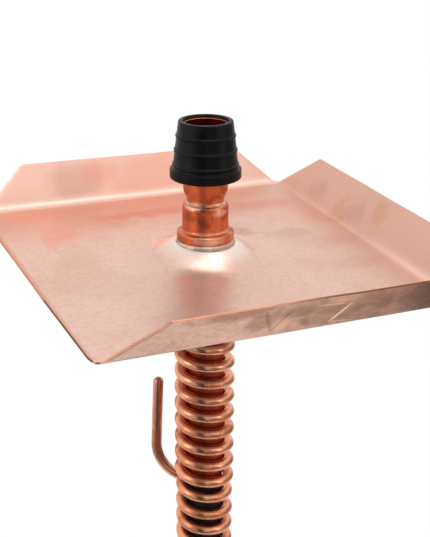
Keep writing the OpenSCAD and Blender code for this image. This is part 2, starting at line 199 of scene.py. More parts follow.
def turned(name, outline, sides=128):
    """A closed outline of (radius, height) points, drawn up ring by ring round the stem's axis."""
    deselect_all()
    r, z = outline[0]
    bpy.ops.mesh.primitive_circle_add(vertices=sides, radius=r * MM, location=(0, 0, z * MM))
    obj = named(name)
    settle(obj)
    edit(obj)
    bpy.ops.mesh.select_all(action="SELECT")
    for r_next, z_next in outline[1:]:
        bpy.ops.mesh.extrude_edges_move(TRANSFORM_OT_translate={"value": (0, 0, (z_next - z) * MM)})
        scale = r_next / r
        bpy.ops.transform.resize(value=(scale, scale, 1), center_override=(0, 0, 0))
        r, z = r_next, z_next
    choose(obj, lambda edge: edge.is_boundary, "EDGE")
    bpy.ops.mesh.bridge_edge_loops()
    bpy.ops.object.mode_set(mode="OBJECT")
    outward(obj)
    return obj


# ---- Ash tray ----

def tray_place():
    """Where the hand-fitted tray sits and how it leans."""
    lean_x, lean_y = (math.radians(lean) for lean in TRAY_LEAN)
    lean = Matrix.Rotation(lean_y, 4, "Y") @ Matrix.Rotation(lean_x, 4, "X")
    return Matrix.Translation((0, 0, (SEAT - TRAY_DROP) * MM)) @ lean


def side_axes(side):
    """The directions out of the tray and along its side. Sides 0 to 3 face +X, +Y, -X and -Y."""
    turn = Matrix.Rotation(math.pi / 2 * side, 3, "Z")
    return turn @ Vector((1, 0, 0)), turn @ Vector((0, 1, 0))


def fold_up(obj, side, angle):
    """Folds one flange up along a side of the floor."""
    inner_r = FOLD_RUN / math.tan(math.radians(angle / 2))
    out, along = side_axes(side)
    edge_place = FLOOR_HALF * MM - NEARLY
    floor_z = -BOSS_H * MM

    def floor_edge(e):
        return e.is_boundary and all(
            v.co.dot(out) > edge_place and abs(v.co.z - floor_z) < NEARLY for v in e.verts)

    choose(obj, floor_edge, "EDGE")
    centre = out * FLOOR_HALF * MM + Vector((0, 0, floor_z + inner_r * MM))
    bpy.ops.mesh.spin(steps=8, angle=math.radians(angle), center=centre, axis=along)
    rise = out * math.cos(math.radians(angle)) + Vector((0, 0, math.sin(math.radians(angle))))
    corner = FLANGE_W - TIP_ROUND
    places = [FOLD_RUN + (corner - FOLD_RUN) * i / 8 for i in range(9)]
    places += [corner + TIP_ROUND * math.sin(math.radians(a)) for a in (25, 45, 60, 75, 90)]
    for place, place_next in zip(places, places[1:]):
        bpy.ops.mesh.extrude_edges_move(TRANSFORM_OT_translate={"value": rise * (place_next - place) * MM})


def fill_corner(obj, side):
    """Rounds the floor's corner between two folds, as far as the cut that parts their flanges."""
    half, near = FLOOR_HALF * MM, FOLD_RUN * MM
    out, along = side_axes(side)
    top = (0.7 - BOSS_H) * MM

    def fold_end(e):
        return e.is_boundary and all(
            abs(v.co.dot(along) - half) < NEARLY and half - NEARLY < v.co.dot(out) < half + near
            and v.co.z < top for v in e.verts)

    choose(obj, fold_end, "EDGE")
    corner = (out + along) * half + Vector((0, 0, -BOSS_H * MM))
    bpy.ops.mesh.spin(steps=6, angle=math.pi / 2, center=corner, axis=(0, 0, -1))
    choose(obj, lambda v: (v.co - corner).length < 1.3 * near)
    bpy.ops.mesh.remove_doubles(threshold=0.06 * MM)


def cut_half(x, tip_cut):
    """Half a flange's width, x past the edge of the floor, with the tip's corners rounded."""
    slope = tip_cut / (FLANGE_W - CUT_START)
    lean = math.atan(slope)
    centre = FLANGE_W - TIP_ROUND
    if x > centre + TIP_ROUND * math.sin(lean):
        past = min(x - centre, TIP_ROUND)
        inset = tip_cut + TIP_ROUND * math.tan(math.pi / 4 - lean / 2)
        return FLOOR_HALF - inset + math.sqrt(TIP_ROUND ** 2 - past ** 2)
    return FLOOR_HALF - slope * max(x - CUT_START, 0)


def cut_corners(place):
    """Narrows the flanges from the floor's corners to their tips."""
    for side, angle in enumerate(FLANGE_ANGLES):
        out, along = side_axes(side)
        if place.dot(out) > FLOOR_HALF + 0.001:
            lean = math.radians(angle)
            x = (place.dot(out) - TRAY_SIDE / 2) * math.cos(lean) + (place.z + BOSS_H) * math.sin(lean)
            return along * place.dot(along) * (cut_half(x, TIP_CUTS[side]) / FLOOR_HALF - 1)
    return (0, 0, 0)


def boss_drop(r):
    """How far the sheet has fallen at a radius: a steep shoulder that runs out to the floor."""
    cone = min(max(r - SHOULDER_R, 0), SHOULDER_END_R - SHOULDER_R)
    past = min(max(r - SHOULDER_END_R, 0) / (SHOULDER_FOOT_R - SHOULDER_END_R), 1)
    run_out = (SHOULDER_FOOT_R - SHOULDER_END_R) / 2 * (1 - (1 - past) ** 2)
    return min(SHOULDER_SLOPE * (cone + run_out), BOSS_H)


def make_tray():
    """One copper sheet: a raised boss, a square floor and four flanges with cut corners."""
    deselect_all()
    bpy.ops.mesh.primitive_circle_add(vertices=96, radius=HOLE_R * MM, rotation=(0, 0, math.radians(45)))
    tray = named("copper_ash_tray")
    settle(tray)
    edit(tray)
    bpy.ops.mesh.select_all(action="SELECT")
    r, z = HOLE_R, 0
    for r_next in BOSS_RINGS:
        z_next = -boss_drop(r_next)
        bpy.ops.mesh.extrude_edges_move(TRANSFORM_OT_translate={"value": (0, 0, (z_next - z) * MM)})
        bpy.ops.transform.resize(value=(r_next / r, r_next / r, 1), center_override=(0, 0, 0))
        r, z = r_next, z_next
    bpy.ops.mesh.select_all(action="DESELECT")
    bpy.ops.mesh.primitive_plane_add(size=2 * FLOOR_HALF * MM, location=(0, 0, -BOSS_H * MM))
    bpy.ops.mesh.delete(type="ONLY_FACE")
    rim = (FLOOR_HALF - 0.1) * MM
    choose(tray, lambda e: all(max(abs(v.co.x), abs(v.co.y)) > rim for v in e.verts), "EDGE")
    bpy.ops.mesh.subdivide(number_cuts=23)
    outer = (BOSS_FOOT_R - 0.01) * MM
    choose(tray, lambda e: len(e.link_faces) < 2 and all(v.co.xy.length > outer for v in e.verts), "EDGE")
    bpy.ops.mesh.bridge_edge_loops(number_cuts=9, interpolation="LINEAR")
    for side, angle in enumerate(FLANGE_ANGLES):
        fold_up(tray, side, angle)
    for side in range(4):
        fill_corner(tray, side)
    bpy.ops.mesh.select_all(action="SELECT")
    bpy.ops.mesh.subdivide(number_cuts=1, smoothness=0)
    bpy.ops.object.mode_set(mode="OBJECT")
    outward(tray)
    face_up(tray)
    sculpt(tray, cut_corners)
    sculpt(tray, sheet_waves)
    sheet = tray.modifiers.new("sheet", "SOLIDIFY")
    sheet.thickness = SHEET_T * MM
    sheet.offset = -1
    sheet.use_even_offset = True
    sheet.material_offset = 1
    sheet.material_offset_rim = 2
    bevel(tray, 0.16, 2, 60)
    for name in ("sheet_copper", "sheet_outside", "sheet_edge"):
        tray.data.materials.append(MATERIALS[name])
    apply_all(tray)
    settle(tray, tray_place())
    smooth(tray, 35)
    return tray


def face_up(obj):
    """Turns an open sheet's faces so that they look up."""
    total = sum(polygon.normal.z * polygon.area for polygon in obj.data.polygons)
    if total < 0:
        edit(obj)
        bpy.ops.mesh.select_all(action="SELECT")
        bpy.ops.mesh.flip_normals()
        bpy.ops.object.mode_set(mode="OBJECT")


def sheet_waves(place):
    """The slight buckling that hand folding leaves in a sheet. The seat at the stem stays flat."""
    flat_r, rise_run = 18, 30
    reach = ease((place.xy.length - flat_r) / rise_run)
    lift = 0
    for length, height, seed in ((46, 0.35, 3.1), (19, 0.10, 7.7)):
        lift += height * noise.noise(Vector((place.x / length, place.y / length, seed)))
    return (0, 0, reach * lift)


# ---- Fittings ----

def make_grommet():
    """The ribbed rubber cone. Its ribs are soft steps, and its top has a thin turned lip."""
    foot = SEAT + RIM_H + GROMMET_PROUD - GROMMET_H
    flange_r, flange_h, top_r, top = GROMMET_FLANGE_R, GROMMET_FLANGE_H, GROMMET_TOP_R, GROMMET_H

    def cone(h):
        return GROMMET_BASE_R + (top_r - GROMMET_BASE_R) * (h - flange_h) / (top - flange_h)

    outline = [(GROMMET_BORE_R, 0), (flange_r - 0.9, 0)]
    outline += arc(flange_r - 0.7, 0.9, 0.7, -60, 0, 4)
    outline += arc(flange_r - 0.6, flange_h - 0.6, 0.6, 0, 80, 5)
    outline += [(cone(flange_h) + 0.25, flange_h), (cone(flange_h + 0.4), flange_h + 0.45)]
    for i in range(RIB_COUNT):
        rib = flange_h + RIB_STAND + RIB_PITCH * i
        for step in range(-6, 7):
            h = rib + step * 0.2
            swell = math.sqrt(max(RIB_R ** 2 - (h - rib) ** 2, 0)) - RIB_SUNK
            outline.append((cone(h) + max(swell, 0), h))
    outline += arc(top_r - 0.75, top - 0.75, 0.75, 5, 90, 6)
    outline += [(12.6, top), (12.25, top - 0.15), (GROMMET_BORE_R, top - 0.5)]
    return turned("ribbed_grommet", [(r, foot + h) for r, h in outline])


def make_adapter():
    """The drawn bowl adapter: a long open socket on a flare, with a spigot in the coupling."""
    foot, neck, top = COUPLING_STOP + END_PLAY, COUPLING_H, RIM_H
    rim_round, rim_lap = 0.25, 8

    def flare(low_r, high_r):
        steps = 14
        return [(low_r + (high_r - low_r) * ease(i / steps), neck + NECK_LEN + FLARE_H * i / steps)
                for i in range(steps + 1)]

    outline = [(NECK_BORE_R, foot + 0.2), (NECK_BORE_R + 0.2, foot), (SPIGOT_R - 0.25, foot),
               (SPIGOT_R, foot + 0.25), (SPIGOT_R, neck), (NECK_R - 0.15, neck), (NECK_R, neck + 0.15)]
    outline += flare(NECK_R, ADAPTER_R)
    outline += [(ADAPTER_R, top - rim_lap), (ADAPTER_R, top - 0.3)]
    outline += arc(ADAPTER_R - rim_round, top - rim_round, rim_round, 0, 90, 4)[1:]
    outline += arc(ADAPTER_BORE_R + rim_round, top - rim_round, rim_round, 90, 180, 4)
    outline += [(ADAPTER_BORE_R, top - rim_lap)]
    outline += reversed(flare(NECK_BORE_R, ADAPTER_BORE_R))
    obj = turned("bowl_adapter_body", [(r, SEAT + h) for r, h in outline])
    for name in ("fitting_copper", "bore_copper_painted_shade"):
        obj.data.materials.append(MATERIALS[name])
    bore_top = (SEAT + top - 0.6) * MM
    # Faces inside the bore take a near black-red: painted shade in the bore.
    for face in obj.data.polygons:
        if face.center.z < bore_top and face.normal.xy.dot(face.center.xy) < 0:
            face.material_index = 1
    return obj


def make_coupling():
    """The press coupling: a rounded shoulder, a straight socket and the rolled bead for its O-ring."""
    throat_r, bore_r = SPIGOT_R + FIT_GAP, TUBE_R + FIT_GAP
    groove_r, groove_foot, groove_top = 14.0, BEAD_FOOT + 1.65, BEAD_FOOT + 4.65
    bead_round, hollow_r = 1.2, 1.3
    outline = [(bore_r, BEAD_FOOT), (BEAD_R - 1.5, BEAD_FOOT)]
    outline += arc(BEAD_R - bead_round, BEAD_FOOT + 1.4, bead_round, -70, 0, 8)
    outline += arc(BEAD_R - bead_round, BEAD_TOP - 1.9, bead_round, 0, 70, 8)
    outline += arc(SOCKET_R + hollow_r, BEAD_TOP + 0.9, hollow_r, -90, -180, 8)
    outline += [(MOUTH_R + (SOCKET_R - MOUTH_R) * c, COUPLING_H - COUPLING_ROUND + COUPLING_ROUND * s)
                for c, s in arc(0, 0, 1, 0, 90, 10)]
    outline += [(throat_r, COUPLING_H), (throat_r, COUPLING_STOP), (bore_r, COUPLING_STOP)]
    outline += [(bore_r, groove_top), (groove_r, groove_top), (groove_r, groove_foot), (bore_r, groove_foot)]
    obj = turned("press_coupling_body", [(r, SEAT + h) for r, h in outline])
    bevel(obj, 0.12, 2, 60)
    apply_all(obj)
    return obj


def round_noise(place, waves, seed):
    """Noise that runs round the stem's axis."""
    x, y = place.xy.normalized()
    return noise.noise(Vector((waves * x, waves * y, seed)))


def make_neck_solder():
    """A thin uneven fillet of solder where the adapter enters the coupling."""
    height = 1.3
    outline = [(NECK_R + 0.02, 0.02), (MOUTH_R - 0.1, 0.02), (MOUTH_R - 0.16, 0.14),
               (NECK_R + 0.42, 0.45), (NECK_R + 0.16, 0.9), (NECK_R + 0.02, height - 0.02)]
    obj = turned("neck_solder_fillet", [(r, SEAT + COUPLING_H + h) for r, h in outline], 160)

    def lumps(place):
        share = (place.z - SEAT - COUPLING_H) / height
        return (0, 0, -0.35 * max(round_noise(place, 3, 1.5) + 0.2, 0) * share)

    sculpt(obj, lumps)
    return obj


def make_tray_solder():
    """The silvery ring of solder that holds the coupling on the tray. It runs out unevenly over the boss."""
    outline = [(HOLE_R, -2.2), (16.0, -2.2), (16.35, -1.0), (16.3, -0.35), (16.05, 0.3),
               (15.6, 0.75), (15.1, 1.15), (14.6, 0.75), (14.0, 0.16), (HOLE_R, 0.16)]
    crest_r = 14.5
    obj = turned("tray_solder_ring", [(r, SEAT + h) for r, h in outline], 160)

    def lumps(place):
        if place.xy.length < crest_r:
            return (0, 0, 0)
        lump = 0.8 * round_noise(place, 2.4, 4.2) + 0.5 * round_noise(place, 7, 9.1)
        return (*(place.xy.normalized() * -0.28 * max(lump + 0.25, 0)), 0)

    sculpt(obj, lumps)
    return obj


# ---- Rod winding and hook ----

def rod_place(drop, angle):
    """A place below the tray seat, turned about the stem."""
    return Matrix.Translation((0, 0, (SEAT - drop) * MM)) @ Matrix.Rotation(math.radians(angle), 4, "Z")


def winding_r(r, turns_up):
    """The winding's radius. Its last turns close in on the lower tube."""
    t = (turns_up - CLOSING_TURNS + CLOSING_LENGTH) / CLOSING_LENGTH
    return WIND_END_R + (r - WIND_END_R) * ease(t)


def rod_section(name, place):
    """The rod's round section, standing square to +Y at a place."""
    deselect_all()
    upright = (math.pi / 2, 0, 0)
    bpy.ops.mesh.primitive_circle_add(vertices=28, radius=ROD_R * MM, location=place, rotation=upright)
    obj = named(name)
    settle(obj)
    return obj


def wind_rod(name, r, turns, drop, angle):
    """A left-hand winding, from its last point up to its first, with short straight ends."""
    obj = rod_section(name, (r * MM, 0, 0))
    screw = obj.modifiers.new("turns", "SCREW")
    screw.angle = -2 * math.pi * turns
    screw.screw_offset = PITCH * turns * MM
    screw.iterations = 1
    screw.steps = screw.render_steps = round(turns * WIND_STEPS)
    screw.use_merge_vertices = False
    screw.use_smooth_shade = True
    apply_all(obj)

    def close_in(place):
        return (*(place.xy.normalized() * (winding_r(r, place.z / PITCH) - r)), 0)

    sculpt(obj, close_in)
    edit(obj)
    end = 2 * ROD_R * MM
    choose(obj, lambda v: v.is_boundary and abs(v.co.y) < 0.2 * MM and v.co.x > 0 and v.co.z < end)
    bpy.ops.mesh.extrude_region_move(TRANSFORM_OT_translate={"value": (0, end, 0)})
    first_angle = -2 * math.pi * turns
    back = Vector((math.sin(first_angle), -math.cos(first_angle), 0))
    choose(obj, lambda v: v.is_boundary and v.co.z > turns * PITCH * MM - end)
    bpy.ops.mesh.extrude_region_move(TRANSFORM_OT_translate={"value": back * end})
    bpy.ops.object.mode_set(mode="OBJECT")
    close_ends(obj)
    settle(obj, rod_place(drop, angle))
    return obj


def make_upper_winding():
    return wind_rod("upper_rod_winding", WIND_R, UPPER_TURNS, LEAVE_DROP, LEAVE_ANGLE)


def make_lower_winding():
    drop = LEAVE_DROP + LOWER_START + LOWER_TURNS * PITCH
    angle = LEAVE_ANGLE + LOWER_LAG + 360 * LOWER_TURNS
    return wind_rod("lower_rod_winding", WIND_END_R, LOWER_TURNS, drop, angle)


def close_ends(obj):
    """Closes both cut ends and rounds their edges."""
    edit(obj)
    bpy.ops.mesh.select_mode(type="EDGE")
    bpy.ops.mesh.select_all(action="DESELECT")
    mesh = bmesh.from_edit_mesh(obj.data)
    rims = [e for e in mesh.edges if e.is_boundary]
    while rims:
        ring = [rims[0]]
        for edge in ring:
            for vertex in edge.verts:
                ring += [e for e in vertex.link_edges if e.is_boundary and e not in ring]
        rims = [e for e in rims if e not in ring]
        bmesh.ops.contextual_create(mesh, geom=ring)
    bmesh.update_edit_mesh(obj.data)
    bpy.ops.object.mode_set(mode="OBJECT")
    outward(obj)
    bevel(obj, 0.35, 3, 60)
    apply_all(obj)


def make_hook():
    """The rod's free end. It bends up from level, runs straight and ends in a dome."""
    start = Vector((WIND_END_R, 2 * ROD_R, 0))
    obj = rod_section("tongs_hook_rod", start * MM)
    edit(obj)
    bpy.ops.mesh.select_all(action="SELECT")
    centre = start + Vector((0, 0, HOOK_BEND_R))
    lean = math.radians(HOOK_LEAN)
    bpy.ops.mesh.spin(steps=32, angle=math.pi / 2 + lean, center=centre * MM, axis=(-1, 0, 0))
    up = Vector((0, -math.sin(lean), math.cos(lean)))
    straight_steps = 6
    straight_step = HOOK_STRAIGHT / straight_steps
    for _ in range(straight_steps):
        bpy.ops.mesh.extrude_region_move(TRANSFORM_OT_translate={"value": up * straight_step * MM})
    top = centre + HOOK_BEND_R * Vector((0, math.cos(lean), math.sin(lean))) + HOOK_STRAIGHT * up
    rise, r = 0, 1
    for share, rise_next in arc(0, 0, 1, 0, 88, 8)[1:]:
        step = up * (rise_next - rise) * ROD_R * MM
        bpy.ops.mesh.extrude_region_move(TRANSFORM_OT_translate={"value": step})
        here = (top + rise_next * ROD_R * up) * MM
        bpy.ops.transform.resize(value=(share / r,) * 3, center_override=here)
        rise, r = rise_next, share
    bpy.ops.mesh.edge_face_add()
    bpy.ops.object.mode_set(mode="OBJECT")
    edit(obj)
    choose(obj, lambda e: e.is_boundary, "EDGE")
    bpy.ops.mesh.edge_face_add()
    bpy.ops.object.mode_set(mode="OBJECT")
    outward(obj)
    settle(obj, rod_place(LEAVE_DROP, LEAVE_ANGLE))
    return obj


# ---- Shader groups ----

def new_group(name, vectors=(), **numbers):
    """A node group that turns a place and some settings into one mask."""
    group = bpy.data.node_groups.new(name, "ShaderNodeTree")
    for label in ("Vector", *vectors):
        group.interface.new_socket(name=label, in_out="INPUT", socket_type="NodeSocketVector")
    for label, value in numbers.items():
        socket = group.interface.new_socket(name=label, in_out="INPUT", socket_type="NodeSocketFloat")
        socket.default_value = value
    group.interface.new_socket(name="Mask", in_out="OUTPUT", socket_type="NodeSocketFloat")
    GROUPS[name] = group
    inside, out = group.nodes.new("NodeGroupInput"), group.nodes.new("NodeGroupOutput")
    return group, inside.outputs, out.inputs["Mask"]


def feed(tree, value, socket):
    """Links a socket to another one's output, or sets it to a plain value."""
    if isinstance(value, bpy.types.NodeSocket):
        tree.links.new(value, socket)
    else:
        socket.default_value = value


def node(tree, kind, values=None, **settings):
    """A new node, with its settings and what goes into its sockets."""
    made = tree.nodes.new(kind)
    for key, value in settings.items():
        setattr(made, key, value)
    for key, value in (values or {}).items():
        feed(tree, value, made.inputs[key])
    return made


def maths(tree, operation, a, b=0.0, clamp=False):
    return node(tree, "ShaderNodeMath", {0: a, 1: b}, operation=operation, use_clamp=clamp).outputs[0]


def vector_maths(tree, operation, a, b):
    return node(tree, "ShaderNodeVectorMath", {0: a, 1: b}, operation=operation).outputs[0]


def noise_field(tree, place, scale, detail, **more):
    """A noise texture at a place in metres."""
    values = {"Vector": place, "Scale": scale, "Detail": detail}
    values.update({key.capitalize(): value for key, value in more.items()})
    return node(tree, "ShaderNodeTexNoise", values)


def spread(tree, value, low, high, to_low=0.0, to_high=1.0):
    """Maps a value from one range to another with a soft start and end."""
    return node(tree, "ShaderNodeMapRange", {
        "Value": value, "From Min": low, "From Max": high, "To Min": to_low, "To Max": to_high,
    }, clamp=True, interpolation_type="SMOOTHSTEP").outputs["Result"]


def mix_colour(tree, factor, a, b):
    """From colour a to colour b by the factor."""
    return node(tree, "ShaderNodeMix", {0: factor, 6: a, 7: b}, data_type="RGBA").outputs[2]


def cloud_group():
    """Soft cloudy patches, as heat and handling leave on copper."""
    group, inside, mask = new_group("cloudy_patches", Scale=30.0, Warp=0.4, Low=0.45, High=0.7)
    field = noise_field(group, inside["Vector"], inside["Scale"], 5.0,
                        roughness=0.55, distortion=inside["Warp"])
    group.links.new(spread(group, field.outputs[0], inside["Low"], inside["High"]), mask)


def swirl_group():
    """Fine curved lines, as burnishing with a cloth or steel wool leaves on sheet."""
    group, inside, mask = new_group("burnish_swirls", Scale=90.0, Warp=3.0)
    bend = noise_field(group, inside["Vector"], 14.0, 1.0)
    shift = (0.09, 0.09, 0.09)
    shifted = node(group, "ShaderNodeVectorMath", {0: bend.outputs[1], 1: shift, 2: inside["Vector"]},
                   operation="MULTIPLY_ADD")
    stretched = node(group, "ShaderNodeMapping", {
        "Vector": shifted.outputs[0], "Rotation": (0, 0, 0.6), "Scale": (1.0, 7.0, 1.0)})
    field = noise_field(group, stretched.outputs[0], inside["Scale"], 4.0,
                        roughness=0.7, distortion=inside["Warp"])
    group.links.new(field.outputs[0], mask)


def patch_group():
    """One soft cloudy patch at a place. Its spread is half its size along each axis."""
    group, inside, mask = new_group("placed_patch", ("Centre", "Spread"), Ragged=0.5)
    field = noise_field(group, inside["Vector"], 70.0, 4.0, roughness=0.6)
    away = vector_maths(group, "SUBTRACT", inside["Vector"], inside["Centre"])
    away = vector_maths(group, "DIVIDE", away, inside["Spread"])
    reach = node(group, "ShaderNodeVectorMath", {0: away}, operation="LENGTH").outputs["Value"]
    wobble = maths(group, "MULTIPLY", maths(group, "SUBTRACT", field.outputs[0], 0.5), inside["Ragged"])
    reach = maths(group, "ADD", reach, maths(group, "MULTIPLY", wobble, 4.0))
    group.links.new(spread(group, reach, 0.35, 1.15, 1.0, 0.0), mask)


def line_group():
    """One straight scratch between two places, thinning out at both ends."""
    group, inside, mask = new_group("placed_line", ("Start", "End"), Width=0.001)
    run = vector_maths(group, "SUBTRACT", inside["End"], inside["Start"])
    away = vector_maths(group, "SUBTRACT", inside["Vector"], inside["Start"])
    square = node(group, "ShaderNodeVectorMath", {0: run, 1: run}, operation="DOT_PRODUCT").outputs["Value"]
    part = node(group, "ShaderNodeVectorMath", {0: away, 1: run}, operation="DOT_PRODUCT").outputs["Value"]
    part = maths(group, "DIVIDE", part, square, True)
    nearest = node(group, "ShaderNodeVectorMath", {0: run, "Scale": part}, operation="SCALE").outputs[0]
    off = node(group, "ShaderNodeVectorMath", {0: away, 1: nearest}, operation="DISTANCE").outputs["Value"]
    from_middle = maths(group, "ABSOLUTE", maths(group, "SUBTRACT", part, 0.5))
    slim = maths(group, "MULTIPLY", inside["Width"], spread(group, from_middle, 0.2, 0.5, 1.0, 0.45))
    group.links.new(spread(group, maths(group, "DIVIDE", off, slim), 0.3, 1.0, 1.0, 0.0), mask)


def place_group(tree, name, **values):
    """One of the node groups, with what goes into it. Its mask comes out."""
    return node(tree, "ShaderNodeGroup", values, node_tree=GROUPS[name]).outputs[0]


def clouds(tree, place, scale, warp, low, high):
    return place_group(tree, "cloudy_patches", Vector=place, Scale=scale, Warp=warp, Low=low, High=high)


def rgb(red, green, blue):
    """A colour written as it shows, 0 to 255, turned to the shader's own light values."""
    def light(c):
        c /= 255
        return c / 12.92 if c <= 0.04045 else ((c + 0.055) / 1.055) ** 2.4
    return (light(red), light(green), light(blue), 1.0)


def new_material(name, metallic, roughness):
    """A new material with its shader, and the place on the object in metres."""
    material = bpy.data.materials.new(name)
    material.use_nodes = True
    tree = material.node_tree
    shader = tree.nodes["Principled BSDF"]
    shader.inputs["Metallic"].default_value = metallic
    shader.inputs["Roughness"].default_value = roughness
    MATERIALS[name] = material
    return tree, shader, node(tree, "ShaderNodeTexCoord").outputs["Object"]


def coat(tree, shader, tone, roughness, bump_field, bump_strength, bump_height):
    """Gives a shader its colour, its roughness and its fine relief."""
    feed(tree, tone, shader.inputs["Base Color"])
    feed(tree, roughness, shader.inputs["Roughness"])
    relief = node(tree, "ShaderNodeBump", {
        "Strength": bump_strength, "Distance": bump_height, "Height": bump_field})
    tree.links.new(relief.outputs[0], shader.inputs["Normal"])


def metres(place):
    return [c * MM for c in place]


def lay_patches(tree, place, tone, patches):
    """Lays single patches over a tone, in millimetres: place, size, strength, raggedness, colour."""
    for centre, size, strength, ragged, colour in patches:
        mask = place_group(tree, "placed_patch", Vector=place, Centre=metres(centre), Spread=metres(size),
                           Ragged=ragged)
        tone = mix_colour(tree, maths(tree, "MULTIPLY", mask, strength), tone, rgb(*colour))
    return tone


def lay_scratches(tree, place, tone, scratches):
    """Lays single scratches over a tone, in millimetres: start, end, width, strength, colour."""
    for start, end, width, strength, colour in scratches:
        mask = place_group(tree, "placed_line", Vector=place, Start=metres(start), End=metres(end),
                           Width=width * MM)
        tone = mix_colour(tree, maths(tree, "MULTIPLY", mask, strength), tone, rgb(*colour))
    return tone


def lay_bands(tree, tone, bands):
    """Lays colours over a tone that grow along an axis: measure, start and end in mm, strength, colour."""
    for measure, start, end, strength, colour in bands:
        share = spread(tree, measure, start * MM, end * MM, 0.0, strength)
        tone = mix_colour(tree, share, tone, rgb(*colour))
    return tone


def sheet_tone(tree, place, pale, mid, deep, stain_low, swirl_share):
    """Burnished sheet: broad clouds, stains, fine swirls and a fine grain. Also gives the swirls."""
    broad = clouds(tree, place, 11.0, 0.6, 0.42, 0.62)
    patch = clouds(tree, place, 24.0, 1.2, stain_low, stain_low + 0.16)
    swirl = place_group(tree, "burnish_swirls", Vector=place, Scale=60.0, Warp=1.5)
    grain = noise_field(tree, place, 380.0, 3.0, roughness=0.65)
    tone = mix_colour(tree, broad, rgb(*pale), rgb(*mid))
    tone = mix_colour(tree, maths(tree, "MULTIPLY", patch, 0.4), tone, rgb(*deep))
    tone = mix_colour(tree, spread(tree, swirl, 0.3, 0.75, 0.0, swirl_share), tone, rgb(*deep))
    tone = mix_colour(tree, spread(tree, grain.outputs[0], 0.42, 0.66, 0.0, 0.3), tone, rgb(*deep))
    return tone, swirl


def axes(tree, place):
    """A place's X and Y, in metres."""
    parted = node(tree, "ShaderNodeSeparateXYZ", {"Vector": place})
    return parted.outputs["X"], parted.outputs["Y"]


def distance_from(tree, measure, line):
    """How far a measure is from a line's, which is in millimetres."""
    return maths(tree, "ABSOLUTE", maths(tree, "SUBTRACT", measure, line * MM))


def sheet_material():
    """The upper face of the tray: pale burnished sheet, redder towards the back, with painted shade beside
    the back fold and painted highlights along the folds and round the solder ring, and dull at the folds.
    """
    tree, shader, place = new_material("sheet_copper", 0.7, 0.34)
    tone, swirl = sheet_tone(tree, place, (236, 200, 183), (228, 189, 171), (214, 152, 128), 0.56, 0.1)
    x, y = axes(tree, place)
    # Bands along the axes: redder towards the back, painted shade on the floor just below the back fold and
    # on the flange just above it, and darker towards the right fold.
    tone = lay_bands(tree, tone, (
        (y, 20, 85, 0.7, (218, 154, 128)),
        (y, 84, 94, 0.6, (226, 184, 166)),
        (y, 98.5, 103, 0.8, (236, 190, 171)),
        (x, 70, 100, 0.8, (224, 173, 152)),
    ))
    red, rust, rose = (236, 150, 124), (218, 128, 98), (204, 152, 136)
    tan, cloud, solder_ring_painted_highlight = (208, 146, 104), (196, 142, 122), (255, 246, 236)
    tone = lay_patches(tree, place, tone, (
        # back of the floor
        ((-66.3, 51.0, 210.7), (12, 12, 20), 0.5, 0.5, red),
        ((-75.0, 38.2, 210.2), (6, 14, 20), 0.4, 0.5, red),
        ((-4.6, 68.4, 210.1), (34, 9, 20), 0.5, 0.5, rust),
        ((-24.1, 67.5, 210.5), (18, 12, 20), 0.4, 0.5, rust),
        ((62.9, 61.9, 208.1), (26, 10, 20), 0.5, 0.5, rust),
        ((-73.7, 84.8, 212.6), (30, 9, 20), 0.2, 0.5, red),
        ((75.3, 39.7, 206.6), (24, 20, 20), 0.3, 0.5, red),
        ((105.2, 24.9, 205.1), (14, 12, 20), 0.4, 0.6, tan),
        # middle and right of the floor
        ((34.4, 23.4, 206.8), (9, 8, 20), 0.7, 0.5, rose),
        ((59.7, 15.3, 205.7), (20, 9, 20), 0.4, 0.6, (206, 156, 136)),
        ((80.3, -4.3, 204.2), (26, 10, 20), 0.35, 0.6, (212, 156, 140)),
        ((44.7, -26.3, 203.9), (24, 10, 20), 0.3, 0.6, (222, 176, 170)),
        ((77.5, -37.2, 202.5), (18, 9, 20), 0.35, 0.6, (208, 158, 138)),
        ((-32.8, -0.7, 207.2), (26, 10, 20), 0.3, 0.6, (226, 178, 172)),
        ((-70.6, 11.9, 208.7), (22, 10, 20), 0.3, 0.6, (222, 172, 156)),
        # round the solder ring, a painted highlight: near-white sheet on the boss's shoulder
        ((0, 0, SEAT - 2), (29, 29, 12), 0.85, 0.15, solder_ring_painted_highlight),
        # back and right flanges
        ((-38.0, 105.8, 223.3), (20, 14, 16), 0.45, 0.25, (196, 138, 114)),
        ((-21.4, 108.4, 227.0), (14, 10, 10), 0.4, 0.3, (226, 146, 120)),
        ((13.3, 103.7, 218.9), (44, 20, 24), 0.5, 0.25, (230, 160, 134)),
        ((108.1, -5.3, 217.0), (12, 8, 8), 0.45, 0.5, tan),
        ((104.2, 12.9, 212.7), (12, 12, 10), 0.35, 0.5, cloud),
        ((104.3, 53.8, 214.9), (10, 10, 8), 0.35, 0.5, cloud),
    ))
    back_fold, right_fold = distance_from(tree, y, 97.5), distance_from(tree, x, 97)
    # Painted highlight: pale bands along the back fold, and along the right fold towards the front.
    right_fold_painted_highlight = maths(tree, "MULTIPLY", spread(tree, right_fold, 0.5 * MM, 6 * MM, 0.35, 0.0),
                       spread(tree, y, -70 * MM, 20 * MM, 1.0, 0.0))
    folds_painted_highlight = maths(tree, "MAXIMUM", spread(tree, back_fold, 1 * MM, 5 * MM, 0.55, 0.0), right_fold_painted_highlight)
    tone = mix_colour(tree, folds_painted_highlight, tone, rgb(255, 230, 214))
    fold_dull = maths(tree, "MAXIMUM", spread(tree, back_fold, 3 * MM, 12 * MM, 0.14, 0.0),
                      spread(tree, right_fold, 3 * MM, 12 * MM, 0.08, 0.0))
    rough = maths(tree, "ADD", spread(tree, swirl, 0.25, 0.75, 0.3, 0.4), fold_dull)
    coat(tree, shader, tone, rough, swirl, 0.06, 0.0003)


